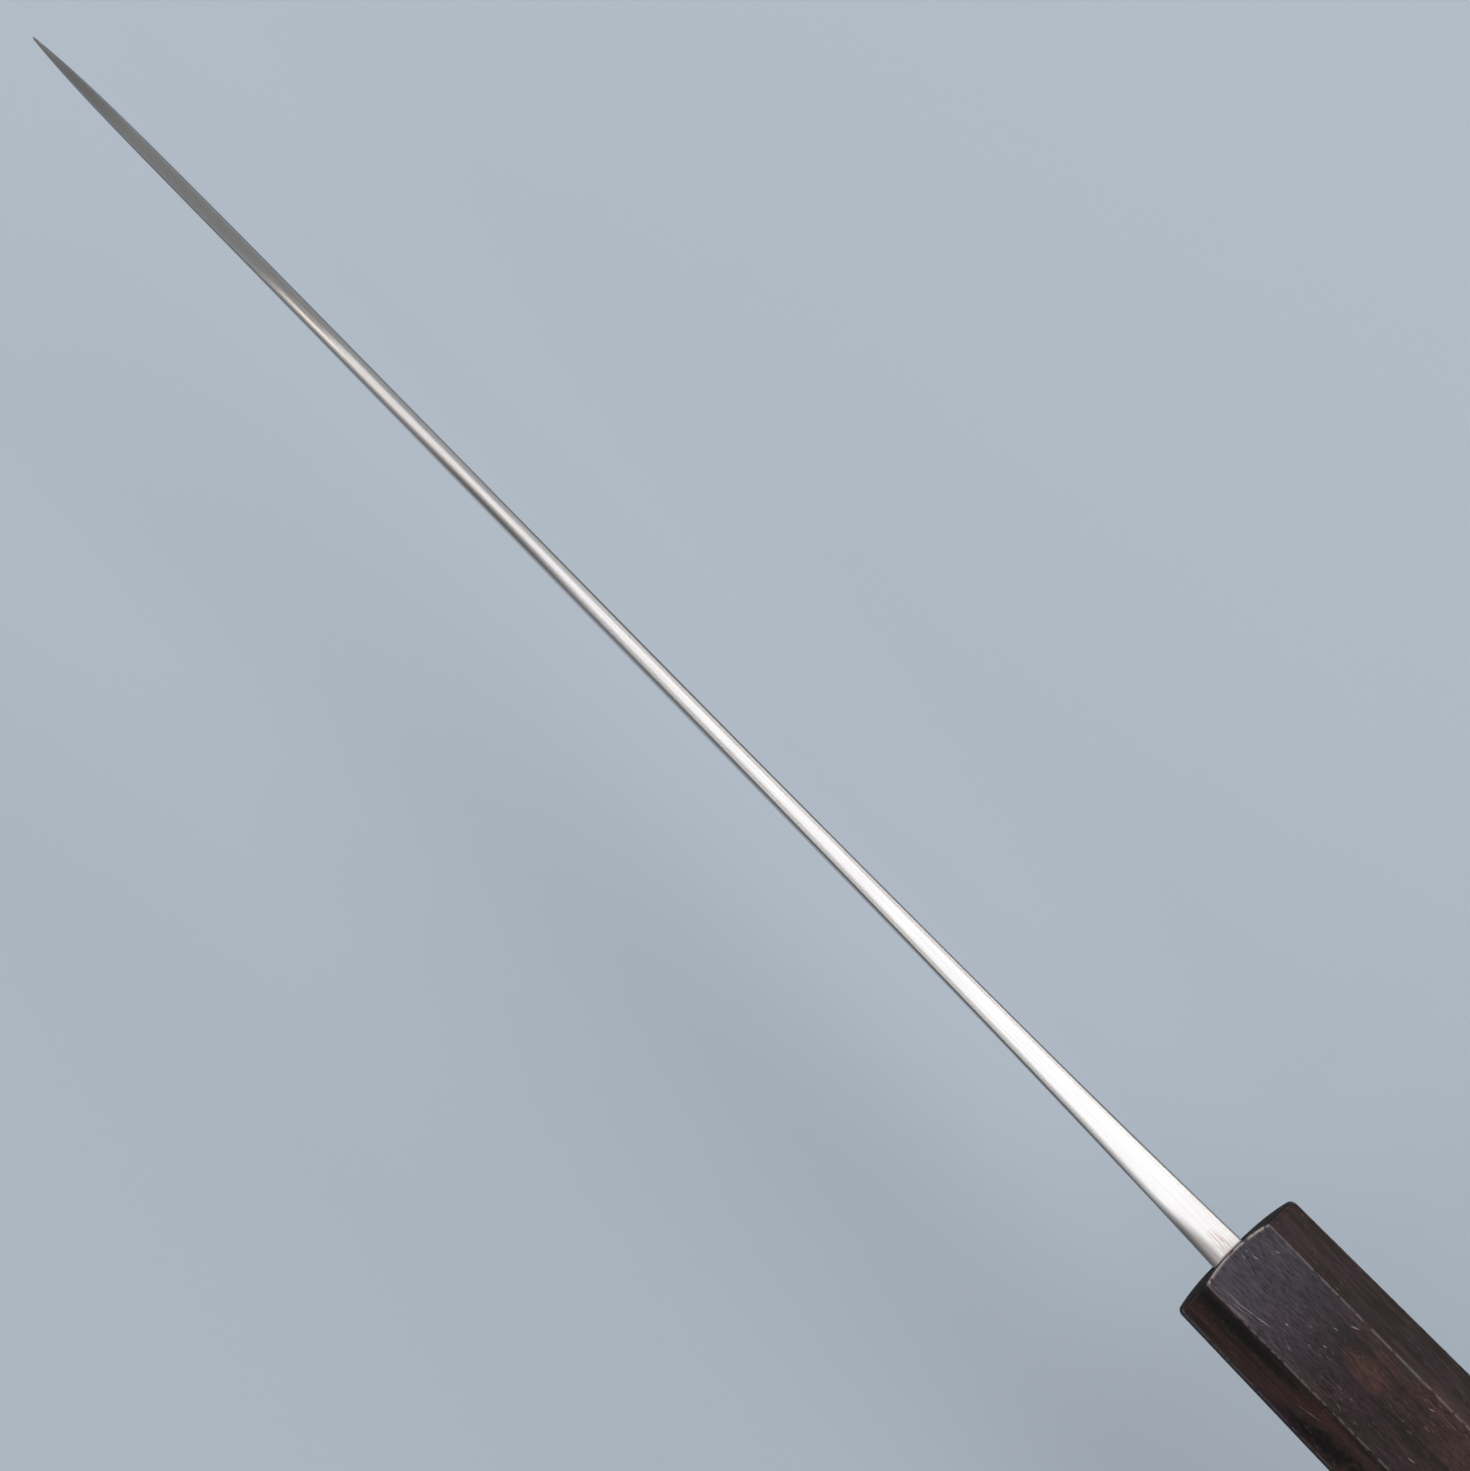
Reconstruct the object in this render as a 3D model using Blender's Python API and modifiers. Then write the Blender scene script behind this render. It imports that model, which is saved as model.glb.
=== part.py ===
# A sujihiki: a long, narrow slicing knife with a forged blade in a one-piece octagonal wooden handle.
# Metres, +Z up. The blade runs along +X with its spine up and its edge down, and +Y is its left side.
# The origin is the middle of the handle's front end.
import bpy
import bmesh
import numpy as np
from math import acos, atan2, cos, hypot, pi, radians, sin, sqrt

OBJECT_NAME = "sujihiki_knife"

# blade, seen from the side
EDGE_LENGTH = 0.240          # heel corner to point
NECK_LENGTH = 0.017          # front of the handle to the heel corner
HEEL_HEIGHT = 0.036          # spine to heel corner
NECK_HEIGHT = 0.016
POINT_DROP = 0.011           # how far the point lies under the line of the spine
POINT_DROP_RUN = 0.070       # the stretch over which the spine comes down
SPINE_CURVE = 2.2            # how late the spine comes down
EDGE_CURVE = 2.9             # how late the edge comes up
CHOIL_RADIUS = 0.0075        # hollow between heel and neck
HEEL_LEAN = 0.0018           # the hollow reaches this far ahead of the heel corner

# blade, seen from above
SPINE_THICKNESS = 0.00238    # along the slender part
NECK_THICKNESS = 0.0059      # where the spine meets the handle
FLARE_LENGTH = 0.050         # the extra thickness of the neck fades over this length
POINT_FADE = 0.0095          # the spine thins to the point over this length
POINT_THICKNESS = 0.0003

# blade, cross-section
GRIND_POWER = 1.8            # fullness of the convex faces
BEVEL_HEIGHT = 0.0009        # cutting bevel
BEVEL_THICKNESS = 0.0003     # thickness behind the bevel
EDGE_THICKNESS = 0.00006
EDGE_OFFSET = 0.0005         # the edge lies this far left of the middle, ground for the right hand
SPINE_ROUND = 0.0011         # radius of the spine's long edges
FULL_ROUND = 0.88            # where the spine is thin they take this share of half its thickness
NECK_ROUND = 0.0009          # eased lower corners of heel and neck
POINT_STUB = 0.0004          # the last section stands this far behind the point
LOW_SHARE = 0.3              # rounding and bevel each take at most this share of a section's height
THIN_SHARE = 0.45            # near the point the bevel's top is at most this share of the spine

# tang, inside the handle
NECK_INSET = 0.0034          # the neck goes this far into the mouth of the slot
SHOULDER_RUN = 0.0013
TANG_LENGTH = 0.095
TANG_HEIGHT = 0.011
TANG_END_HEIGHT = 0.006
TANG_THICKNESS = 0.0044
TANG_END_THICKNESS = 0.0026
TANG_ROUND = 0.0006

# handle
HANDLE_LENGTH = 0.142
HANDLE_FRONT_WIDTH = 0.0234
HANDLE_FRONT_HEIGHT = 0.0270
HANDLE_FRONT_CHAMFER = 0.0053
HANDLE_REAR_WIDTH = 0.0280
HANDLE_REAR_HEIGHT = 0.0306
HANDLE_REAR_CHAMFER = 0.0075
SPINE_BELOW_TOP = 0.0035     # the spine lies this far under the handle's top flat, at the front
PILLOW_SIDE = 0.00105        # the front end curves back this far at its left and right edges
PILLOW_TOP = 0.0002          # this far at its top and bottom edges
PILLOW_CORNER = 0.0027       # and towards its corners by a growing share of this as well
END_ROUND = 0.0006           # rounding of the rims of both ends
ARRIS_ROUND = 0.00035        # rounding of the eight long edges

# fit of the blade in the handle
BLADE_SET = 0.00085          # the blade stands this far left of the handle's middle
CLEARANCE = 0.0003
SEAL_WALL = 0.0004
SEAL_RECESS = 0.0002         # the seal lies this far behind the handle's front
BED_WALL = 0.0007
SLOT_END_SPACE = 0.0030      # depth of bedding behind the end of the tang

# how finely the forms are divided
EDGE_STATIONS = 60
HEEL_STATIONS = 8
CHOIL_STATIONS = 8
NECK_STATIONS = 6
SHOULDER_STATIONS = 4
TANG_STATIONS = 6
SPINE_SEGMENTS = 4
FACE_POINTS = 7
FLAT_SEGMENTS = 4
PILLOW_RINGS = (1.0, 0.84, 0.62, 0.38, 0.16)
ROUND_SEGMENTS = 3
STATION_SPREAD = 1.6         # stations crowd towards the point
SECTION_FAN = 0.038          # sections lean this far forward at the heel
FAN_START = 0.65             # the lean grows over this share of the edge
BEVEL_END_STATIONS = 3       # the bevel runs out over this many stations above the heel corner
ROUND_MIDDLE = 1.0 - sqrt(0.5)   # how far in the middle of a rounded corner lies
SHARP_ANGLE = radians(28)

# places that follow from the sizes
HEEL_X = NECK_LENGTH
POINT_X = HEEL_X + EDGE_LENGTH
SPINE_Z = HANDLE_FRONT_HEIGHT / 2 - SPINE_BELOW_TOP
HEEL_Z = SPINE_Z - HEEL_HEIGHT
NECK_Z = SPINE_Z - NECK_HEIGHT
TANG_Z = (SPINE_Z + NECK_Z) / 2
SHOULDER_X = -NECK_INSET
TANG_ROOT_X = SHOULDER_X - SHOULDER_RUN
TANG_END_X = TANG_ROOT_X - TANG_LENGTH
MOUTH_FLOOR_X = TANG_ROOT_X - CLEARANCE


def smooth(t):
    """A soft step from 0 to 1."""
    t = np.clip(t, 0.0, 1.0)
    return t * t * (3.0 - 2.0 * t)


def mix(a, b, t):
    return a + (b - a) * t


def spine_z(x):
    run = np.clip((x - (POINT_X - POINT_DROP_RUN)) / POINT_DROP_RUN, 0.0, 1.0)
    return SPINE_Z - POINT_DROP * run ** SPINE_CURVE


def edge_z(x):
    run = np.clip((x - HEEL_X) / EDGE_LENGTH, 0.0, 1.0)
    return HEEL_Z + (HEEL_HEIGHT - POINT_DROP) * run ** EDGE_CURVE


def spine_thickness(x):
    flare = (NECK_THICKNESS - SPINE_THICKNESS) * np.exp(-np.maximum(x, 0.0) / FLARE_LENGTH)
    fade = 1.0 - np.exp(-np.maximum(POINT_X - x, 0.0) / POINT_FADE)
    return POINT_THICKNESS + (SPINE_THICKNESS + flare - POINT_THICKNESS) * fade


def bevel_height(x):
    return np.minimum(BEVEL_HEIGHT, LOW_SHARE * (spine_z(x) - edge_z(x)))


def tang_share(x):
    """0 on the blade and neck, 1 from the root of the tang on."""
    return smooth((SHOULDER_X - x) / SHOULDER_RUN)


def along_tang(x):
    return np.clip((TANG_ROOT_X - x) / TANG_LENGTH, 0.0, 1.0)


def blade_sides(x, z):
    """Where the left and the right face lie, from the handle's middle, at a place on the blade."""
    half = spine_thickness(x) / 2
    behind = np.minimum(BEVEL_THICKNESS / 2, THIN_SHARE * half)
    bevel = bevel_height(x)
    height = spine_z(x) - edge_z(x)
    up = np.clip((z - edge_z(x) - bevel) / (height - bevel), 0.0, 1.0)
    grind = 1.0 - (1.0 - up) ** GRIND_POWER
    ground = mix(behind, half, grind)
    offset = np.minimum(EDGE_OFFSET, THIN_SHARE * half) * (1.0 - grind)
    tang = mix(TANG_THICKNESS, TANG_END_THICKNESS, along_tang(x)) / 2
    share = tang_share(x)
    return BLADE_SET + mix(offset + ground, tang, share), BLADE_SET + mix(offset - ground, -tang, share)


def section(top, bottom, edge_share, round_size):
    """One closed outline of the blade on the line from a place on its spine to one on its lower side."""
    top = np.array(top)
    bottom = np.array(bottom)
    length = np.linalg.norm(bottom - top)
    down = (bottom - top) / length
    rounding = min(SPINE_ROUND, FULL_ROUND * spine_thickness(top[0]) / 2)
    rounding = min(mix(rounding, TANG_ROUND, tang_share(top[0])), LOW_SHARE * length)
    depth = min(mix(round_size, bevel_height(bottom[0]), edge_share), LOW_SHARE * length)
    shoulder = top + down * rounding
    foot = bottom - down * depth

    # the top is flat between two quarter rounds
    points = []
    left, right = blade_sides(*shoulder)
    flat = (left - right) / 2 - rounding
    for side in (1, -1):
        for turn in np.linspace(0.0, pi / 2, SPINE_SEGMENTS + 1)[::side]:
            place = shoulder - down * rounding * sin(turn)
            across = side * (flat + rounding * cos(turn))
            points.append((place[0], (left + right) / 2 - across, place[1]))
    for t in np.linspace(0.0, 1.0, FACE_POINTS + 2)[1:]:
        place = mix(shoulder, foot, t)
        points.append((place[0], blade_sides(*place)[0], place[1]))

    # the bevel runs straight to the edge, and elsewhere the corners are eased
    left, right = blade_sides(*foot)
    half = (left - right) / 2
    corner = min(round_size, THIN_SHARE * half)
    end_half = mix(half - corner, half * EDGE_THICKNESS / BEVEL_THICKNESS, edge_share)
    between_half = mix(half - ROUND_MIDDLE * corner, (half + end_half) / 2, edge_share)
    between = bottom - down * depth * mix(ROUND_MIDDLE, 0.5, edge_share)
    middle = (left + right) / 2
    points.append((between[0], middle + between_half, between[1]))
    points.append((bottom[0], middle + end_half, bottom[1]))
    points.append((bottom[0], middle - end_half, bottom[1]))
    points.append((between[0], middle - between_half, between[1]))
    for t in np.linspace(1.0, 0.0, FACE_POINTS + 2)[:-1]:
        place = mix(shoulder, foot, t)
        points.append((place[0], blade_sides(*place)[1], place[1]))
    return np.array(points)


def choil_path():
    """Places up the heel and round the hollow to the underside of the neck."""
    center_x = HEEL_X + HEEL_LEAN - CHOIL_RADIUS
    center_z = NECK_Z - CHOIL_RADIUS
    reach = hypot(HEEL_X - center_x, HEEL_Z - center_z)
    start = atan2(HEEL_Z - center_z, HEEL_X - center_x) + acos(CHOIL_RADIUS / reach)
    touch = (center_x + CHOIL_RADIUS * cos(start), center_z + CHOIL_RADIUS * sin(start))
    path = []
    for t in np.linspace(0.0, 1.0, HEEL_STATIONS + 1)[1:]:
        path.append((mix(HEEL_X, touch[0], t), mix(HEEL_Z, touch[1], t)))
    for angle in np.linspace(start, pi / 2, CHOIL_STATIONS + 1)[1:]:
        path.append((center_x + CHOIL_RADIUS * cos(angle), center_z + CHOIL_RADIUS * sin(angle)))
    return path


def neck_section(x):
    return section((x, SPINE_Z), (x, NECK_Z), 0.0, NECK_ROUND)


def tang_section(x):
    half = mix(TANG_HEIGHT, TANG_END_HEIGHT, along_tang(x)) / 2
    return section((x, TANG_Z + half), (x, TANG_Z - half), 0.0, TANG_ROUND)


def blade_sections():
    """The blade's outlines from the point to the end of the tang."""
    rings = []
    for t in np.linspace(0.0, 1.0, EDGE_STATIONS):
        x = POINT_X - mix(POINT_STUB, EDGE_LENGTH, t ** STATION_SPREAD)
        lean = SECTION_FAN * smooth(1.0 - (x - HEEL_X) / (FAN_START * EDGE_LENGTH))
        rings.append(section((x + lean, spine_z(x + lean)), (x, edge_z(x)), 1.0, NECK_ROUND))

    path = choil_path()
    for i, place in enumerate(path, start=1):
        t = i / len(path)
        top_x = mix(HEEL_X + SECTION_FAN, path[-1][0], t)
        edge_share = max(0.0, 1.0 - i / BEVEL_END_STATIONS)
        rings.append(section((top_x, spine_z(top_x)), place, edge_share, NECK_ROUND))

    for x in np.linspace(path[-1][0], SHOULDER_X, NECK_STATIONS + 1)[1:]:
        rings.append(neck_section(x))
    for t in np.linspace(0.0, 1.0, SHOULDER_STATIONS + 1)[1:]:
        x = mix(SHOULDER_X, TANG_ROOT_X, t)
        top = mix(SPINE_Z, TANG_Z + TANG_HEIGHT / 2, smooth(t))
        bottom = mix(NECK_Z, TANG_Z - TANG_HEIGHT / 2, smooth(t))
        rings.append(section((x, top), (x, bottom), 0.0, mix(NECK_ROUND, TANG_ROUND, t)))
    for x in np.linspace(TANG_ROOT_X, TANG_END_X, TANG_STATIONS + 1)[1:]:
        rings.append(tang_section(x))
    return rings


def grown(ring, distance, x):
    """An outline moved outwards by a distance, standing at x."""
    flat = ring[:, 1:]
    ahead = np.roll(flat, -1, axis=0) - flat
    behind = flat - np.roll(flat, 1, axis=0)
    ahead /= np.linalg.norm(ahead, axis=1, keepdims=True)
    behind /= np.linalg.norm(behind, axis=1, keepdims=True)
    along = ahead + behind
    along /= np.linalg.norm(along, axis=1, keepdims=True)
    outward = np.stack([along[:, 1], -along[:, 0]], axis=1)
    if np.sum(outward * (flat - flat.mean(axis=0))) < 0:
        outward = -outward
    moved = flat + outward * distance
    return np.column_stack([np.full(len(flat), x), moved])


def octagon(width, height, chamfer):
    """A chamfered rectangle in Y and Z, each side in equal steps, with its corners marked."""
    y = width / 2
    z = height / 2
    corners = [(y, -(z - chamfer)), (y, z - chamfer), (y - chamfer, z), (-(y - chamfer), z),
               (-y, z - chamfer), (-y, -(z - chamfer)), (-(y - chamfer), -z), (y - chamfer, -z)]
    points = []
    for i, corner in enumerate(corners):
        following = corners[(i + 1) % len(corners)]
        for step in range(FLAT_SEGMENTS):
            t = step / FLAT_SEGMENTS
            points.append((mix(corner[0], following[0], t), mix(corner[1], following[1], t)))
    return np.array(points)


def loft(bm, rings, closed=False):
    """Skin between outlines of equal count. An open loft gets a face over each end."""
    loops = [[bm.verts.new(point) for point in ring] for ring in rings]
    pairs = list(zip(loops, loops[1:]))
    if closed:
        pairs.append((loops[-1], loops[0]))
    for first, second in pairs:
        for i in range(len(first)):
            j = (i + 1) % len(first)
            bm.faces.new((first[i], first[j], second[j], second[i]))
    if not closed:
        bm.faces.new(loops[0])
        bm.faces.new(reversed(loops[-1]))
    return loops


def close_with_point(bm, loop, point):
    tip = bm.verts.new(point)
    for i in range(len(loop)):
        bm.faces.new((loop[(i + 1) % len(loop)], loop[i], tip))


def make_material(name, color, roughness, metallic=0.0):
    material = bpy.data.materials.new(name)
    material.use_nodes = True
    shader = material.node_tree.nodes["Principled BSDF"]
    shader.inputs["Base Color"].default_value = (*color, 1.0)
    shader.inputs["Roughness"].default_value = roughness
    shader.inputs["Metallic"].default_value = metallic
    return material


def make_object(name, bm, collection, material=None):
    bmesh.ops.recalc_face_normals(bm, faces=bm.faces[:])
    mesh = bpy.data.meshes.new(name)
    bm.to_mesh(mesh)
    bm.free()
    mesh.shade_smooth()
    mesh.set_sharp_from_angle(angle=SHARP_ANGLE)
    if material:
        mesh.materials.append(material)
    made = bpy.data.objects.new(name, mesh)
    collection.objects.link(made)
    return made


def make_cutter(name, rings, collection):
    bm = bmesh.new()
    loft(bm, rings)
    cutter = make_object(name, bm, collection)
    cutter.hide_render = True
    cutter.display_type = "WIRE"
    return cutter


def make_blade(collection):
    """Blade, neck and tang are one forging, lofted from the point to the end of the tang."""
    bm = bmesh.new()
    loops = loft(bm, blade_sections())
    front_cap = next(face for face in loops[0][0].link_faces if len(face.verts) == len(loops[0]))
    bm.faces.remove(front_cap)
    close_with_point(bm, loops[0], (POINT_X, BLADE_SET, spine_z(POINT_X)))
    steel = make_material("polished_carbon_steel", (0.62, 0.61, 0.59), 0.26, 1.0)
    return make_object("blade", bm, collection, steel)


def pillowed(flat, recess=0.0):
    """Points in Y and Z laid on the handle's domed front end, or a little behind it."""
    side = np.abs(flat[:, 0]) / (HANDLE_FRONT_WIDTH / 2)
    rise = np.abs(flat[:, 1]) / (HANDLE_FRONT_HEIGHT / 2)
    back = PILLOW_SIDE * side ** 3 + PILLOW_TOP * rise ** 2 + PILLOW_CORNER * (side * rise ** 2) ** 2
    return np.column_stack([-back - recess, flat])


def make_handle(collection, cutters):
    """A long octagon that widens to the rear, with a domed front end and a flat butt."""
    front = octagon(HANDLE_FRONT_WIDTH, HANDLE_FRONT_HEIGHT, HANDLE_FRONT_CHAMFER)
    rear = octagon(HANDLE_REAR_WIDTH, HANDLE_REAR_HEIGHT, HANDLE_REAR_CHAMFER)
    rings = [np.column_stack([np.full(len(rear), -HANDLE_LENGTH), rear])]
    rings += [pillowed(front * scale) for scale in PILLOW_RINGS]
    bm = bmesh.new()
    loops = loft(bm, rings)

    width = max(END_ROUND, ARRIS_ROUND)
    weight = bm.edges.layers.float.new("bevel_weight_edge")
    for i in range(len(rear)):
        for rim in loops[:2]:
            bm.edges.get((rim[i], rim[(i + 1) % len(rim)]))[weight] = END_ROUND / width
        if i % FLAT_SEGMENTS == 0:
            bm.edges.get((loops[0][i], loops[1][i]))[weight] = ARRIS_ROUND / width
    wood = make_material("dark_oiled_hardwood", (0.045, 0.026, 0.022), 0.42)
    handle = make_object("handle_body", bm, collection, wood)

    rounding = handle.modifiers.new("eased edges", "BEVEL")
    rounding.limit_method = "WEIGHT"
    rounding.width = width
    rounding.segments = ROUND_SEGMENTS

    mouth_margin = SEAL_WALL + 2 * CLEARANCE
    slot_margin = BED_WALL + 2 * CLEARANCE
    neck = neck_section(SHOULDER_X)
    front_clear = HANDLE_FRONT_WIDTH / 2
    slot_start = MOUTH_FLOOR_X + CLEARANCE
    slot_end = TANG_END_X - SLOT_END_SPACE
    mouth = make_cutter("mouth_cutter", [grown(neck, mouth_margin, front_clear),
                                         grown(neck, mouth_margin, MOUTH_FLOOR_X)], cutters)
    slot = make_cutter("slot_cutter", [grown(tang_section(TANG_ROOT_X), slot_margin, slot_start),
                                       grown(tang_section(TANG_END_X), slot_margin, slot_end)], cutters)
    for cutter in (mouth, slot):
        cut = handle.modifiers.new(cutter.name, "BOOLEAN")
        cut.object = cutter
        cut.operation = "DIFFERENCE"
        cut.solver = "EXACT"
    return handle


def make_neck_seal(collection):
    """A ring of black sealing compound round the neck, all but flush with the handle's front."""
    neck = neck_section(SHOULDER_X)
    outer = grown(neck, CLEARANCE + SEAL_WALL, SHOULDER_X + CLEARANCE)
    inner = grown(neck, CLEARANCE, SHOULDER_X + CLEARANCE)
    bm = bmesh.new()
    loft(bm, [pillowed(outer[:, 1:], SEAL_RECESS), outer, inner,
              pillowed(inner[:, 1:], SEAL_RECESS)], closed=True)
    compound = make_material("black_sealing_compound", (0.02, 0.018, 0.017), 0.5)
    return make_object("neck_seal", bm, collection, compound)


def make_tang_bedding(collection):
    """The cured resin that fills the slot round the tang: a sleeve with a closed rear end."""
    root = tang_section(TANG_ROOT_X)
    end = tang_section(TANG_END_X)
    outer = CLEARANCE + BED_WALL
    pocket_end = TANG_END_X - CLEARANCE
    back_x = TANG_END_X - SLOT_END_SPACE + CLEARANCE
    bm = bmesh.new()
    loft(bm, [grown(end, CLEARANCE, pocket_end), grown(root, CLEARANCE, MOUTH_FLOOR_X),
              grown(root, outer, MOUTH_FLOOR_X), grown(end, outer, back_x)])
    resin = make_material("cured_epoxy", (0.30, 0.24, 0.14), 0.35)
    return make_object("tang_bedding", bm, collection, resin)


def main():
    for old in list(bpy.data.objects):
        bpy.data.objects.remove(old, do_unlink=True)
    parts = bpy.data.collections.new(OBJECT_NAME)
    cutters = bpy.data.collections.new("cutters")
    bpy.context.scene.collection.children.link(parts)
    bpy.context.scene.collection.children.link(cutters)

    knife = bpy.data.objects.new(OBJECT_NAME, None)
    parts.objects.link(knife)
    pieces = [make_blade(parts), make_handle(parts, cutters), make_tang_bedding(parts), make_neck_seal(parts)]
    for piece in pieces:
        piece.parent = knife


main()
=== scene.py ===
# A sujihiki knife held edge down and seen from above: a long satin steel blade in an octagonal
# handle of dark hardwood. Shapes are worked out in millimetres, +X to the point and +Z out of the spine.
import bpy
import numpy as np
from mathutils import Matrix, Vector


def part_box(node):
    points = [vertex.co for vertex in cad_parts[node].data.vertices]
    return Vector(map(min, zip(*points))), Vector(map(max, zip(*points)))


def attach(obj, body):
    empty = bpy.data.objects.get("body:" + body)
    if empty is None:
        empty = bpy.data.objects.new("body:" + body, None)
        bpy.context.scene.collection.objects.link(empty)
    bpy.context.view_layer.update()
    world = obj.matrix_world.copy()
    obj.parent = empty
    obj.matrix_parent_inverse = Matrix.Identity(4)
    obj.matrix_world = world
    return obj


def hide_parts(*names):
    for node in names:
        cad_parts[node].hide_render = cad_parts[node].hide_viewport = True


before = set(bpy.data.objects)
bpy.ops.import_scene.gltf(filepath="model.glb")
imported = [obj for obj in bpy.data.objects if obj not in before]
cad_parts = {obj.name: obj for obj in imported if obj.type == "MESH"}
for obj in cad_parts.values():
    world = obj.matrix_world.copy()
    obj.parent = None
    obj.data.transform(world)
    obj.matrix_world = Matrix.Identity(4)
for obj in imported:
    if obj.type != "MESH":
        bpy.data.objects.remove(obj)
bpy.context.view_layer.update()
mm = 0.001
print("frame loaded:", ", ".join(sorted(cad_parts)))


# small helpers

def smooth(t):
    # a soft step from 0 to 1: 3t^2 - 2t^3
    t = np.clip(t, 0.0, 1.0)
    return t * t * (3.0 - 2.0 * t)


def mix(a, b, t):
    # from a to b by the share t
    return a + (b - a) * t


def pairs(a, b):
    # rows of two numbers, where either side may be one number for all rows
    return np.stack(np.broadcast_arrays(a, b), axis=1)


def nodeBox(node):
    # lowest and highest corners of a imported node, in millimetres
    low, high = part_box(node)
    return np.array(low) / mm, np.array(high) / mm


def hexColor(code):
    # sRGB hex to linear: c / 12.92 when dark, otherwise ((c + 0.055) / 1.055) to the power 2.4
    srgb = np.array([int(code[i:i + 2], 16) for i in (0, 2, 4)]) / 255
    linear = np.where(srgb <= 0.04045, srgb / 12.92, ((srgb + 0.055) / 1.055) ** 2.4)
    return (*linear.tolist(), 1.0)


def addNode(tree, kind, settings={}, inputs={}, out=0):
    # a ShaderNode of this kind, its settings, its inputs as values or links, and the wanted output
    node = tree.nodes.new("ShaderNode" + kind)
    for name, value in settings.items():
        setattr(node, name, value)
    for key, value in inputs.items():
        if isinstance(value, bpy.types.NodeSocket):
            tree.links.new(value, node.inputs[key])
        else:
            node.inputs[key].default_value = value
    return node.outputs[out] if len(node.outputs) else node


# settings that many nodes share
asColor = {"data_type": "RGBA"}
asSoftStep = {"interpolation_type": "SMOOTHSTEP"}
asProduct = {"operation": "MULTIPLY"}
asLarger = {"operation": "MAXIMUM"}
asSphere = {"gradient_type": "SPHERICAL"}
asPlaced = {"vector_type": "TEXTURE"}
noiseRange = {"From Min": 0.3, "From Max": 0.7}     # most of a noise's values lie in here


def newMaterial(name):
    # a material whose node tree starts empty
    material = bpy.data.materials.new(name)
    material.use_nodes = True
    material.node_tree.nodes.clear()
    return material, material.node_tree


def gridSurface(name, rows, material, marks={}, sharpAngle=34.0):
    # Rows of points run along the piece and its columns close round it. The first and last row
    # each close on a pole at their middle, unless the rows themselves join into a ring.
    # UV: U is the way round in metres, V the way along.
    count, across = rows.shape[:2]
    points = rows.reshape(-1, 3)
    row, col = np.meshgrid(np.arange(count - 1), np.arange(across), indexing="ij")
    nextCol = (col + 1) % across
    quads = np.stack([row * across + col, row * across + nextCol,
                      (row + 1) * across + nextCol, (row + 1) * across + col], axis=-1).reshape(-1, 4)
    isRing = np.allclose(rows[0], rows[-1])
    if isRing:
        quads = np.where(quads >= (count - 1) * across, quads - (count - 1) * across, quads)
        points = points[:(count - 1) * across]
        faces = quads.tolist()
    else:
        first, last = len(points), len(points) + 1
        points = np.vstack([points, rows[0].mean(axis=0), rows[-1].mean(axis=0)])
        c = np.arange(across)
        n = (c + 1) % across
        base = (count - 1) * across
        fans = np.vstack([np.stack([n, c, np.full(across, first)], axis=1),
                          np.stack([base + c, base + n, np.full(across, last)], axis=1)])
        faces = quads.tolist() + fans.tolist()

    mesh = bpy.data.meshes.new(name)
    mesh.from_pydata((points * mm).tolist(), [], faces)

    around = np.linalg.norm(np.diff(np.concatenate([rows, rows[:, :1]], axis=1), axis=1), axis=2)
    u = np.concatenate([np.zeros((count, 1)), np.cumsum(around, axis=1)], axis=1) * mm
    along = np.linalg.norm(np.diff(rows.mean(axis=1), axis=0), axis=1)
    v = np.concatenate([[0.0], np.cumsum(along)]) * mm
    corners = [(row, col), (row, col + 1), (row + 1, col + 1), (row + 1, col)]
    uv = np.stack([np.stack([u[r, c], v[r]], axis=-1) for r, c in corners], axis=2).reshape(-1, 2)
    spare = 2 * len(mesh.loops) - uv.size
    layer = mesh.uv_layers.new(name="surface")
    layer.data.foreach_set("uv", np.concatenate([uv.ravel(), np.zeros(spare)]).astype(np.float32))
    for mark, values in marks.items():
        flat = np.broadcast_to(values, (count, across)).ravel()[:len(points)]
        flat = np.concatenate([flat, np.full(len(points) - len(flat), flat[-1])])
        mesh.attributes.new(mark, "FLOAT", "POINT").data.foreach_set("value", flat.astype(np.float32))

    # the signed volume says whether the faces look outwards
    corner = points[quads]
    volume = np.sum(corner[:, 0] * np.cross(corner[:, 1] - corner[:, 0], corner[:, 2] - corner[:, 0])) \
        + np.sum(corner[:, 0] * np.cross(corner[:, 2] - corner[:, 0], corner[:, 3] - corner[:, 0]))
    if volume < 0:
        mesh.flip_normals()
    mesh.shade_smooth()
    mesh.set_sharp_from_angle(angle=np.radians(sharpAngle))
    mesh.validate()
    mesh.materials.append(material)
    piece = bpy.data.objects.new(name, mesh)
    bpy.context.scene.collection.objects.link(piece)
    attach(piece, "root")
    print(f"{name}: {len(mesh.polygons)} faces")
    return piece


# blade, neck and tang: one forging

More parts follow.
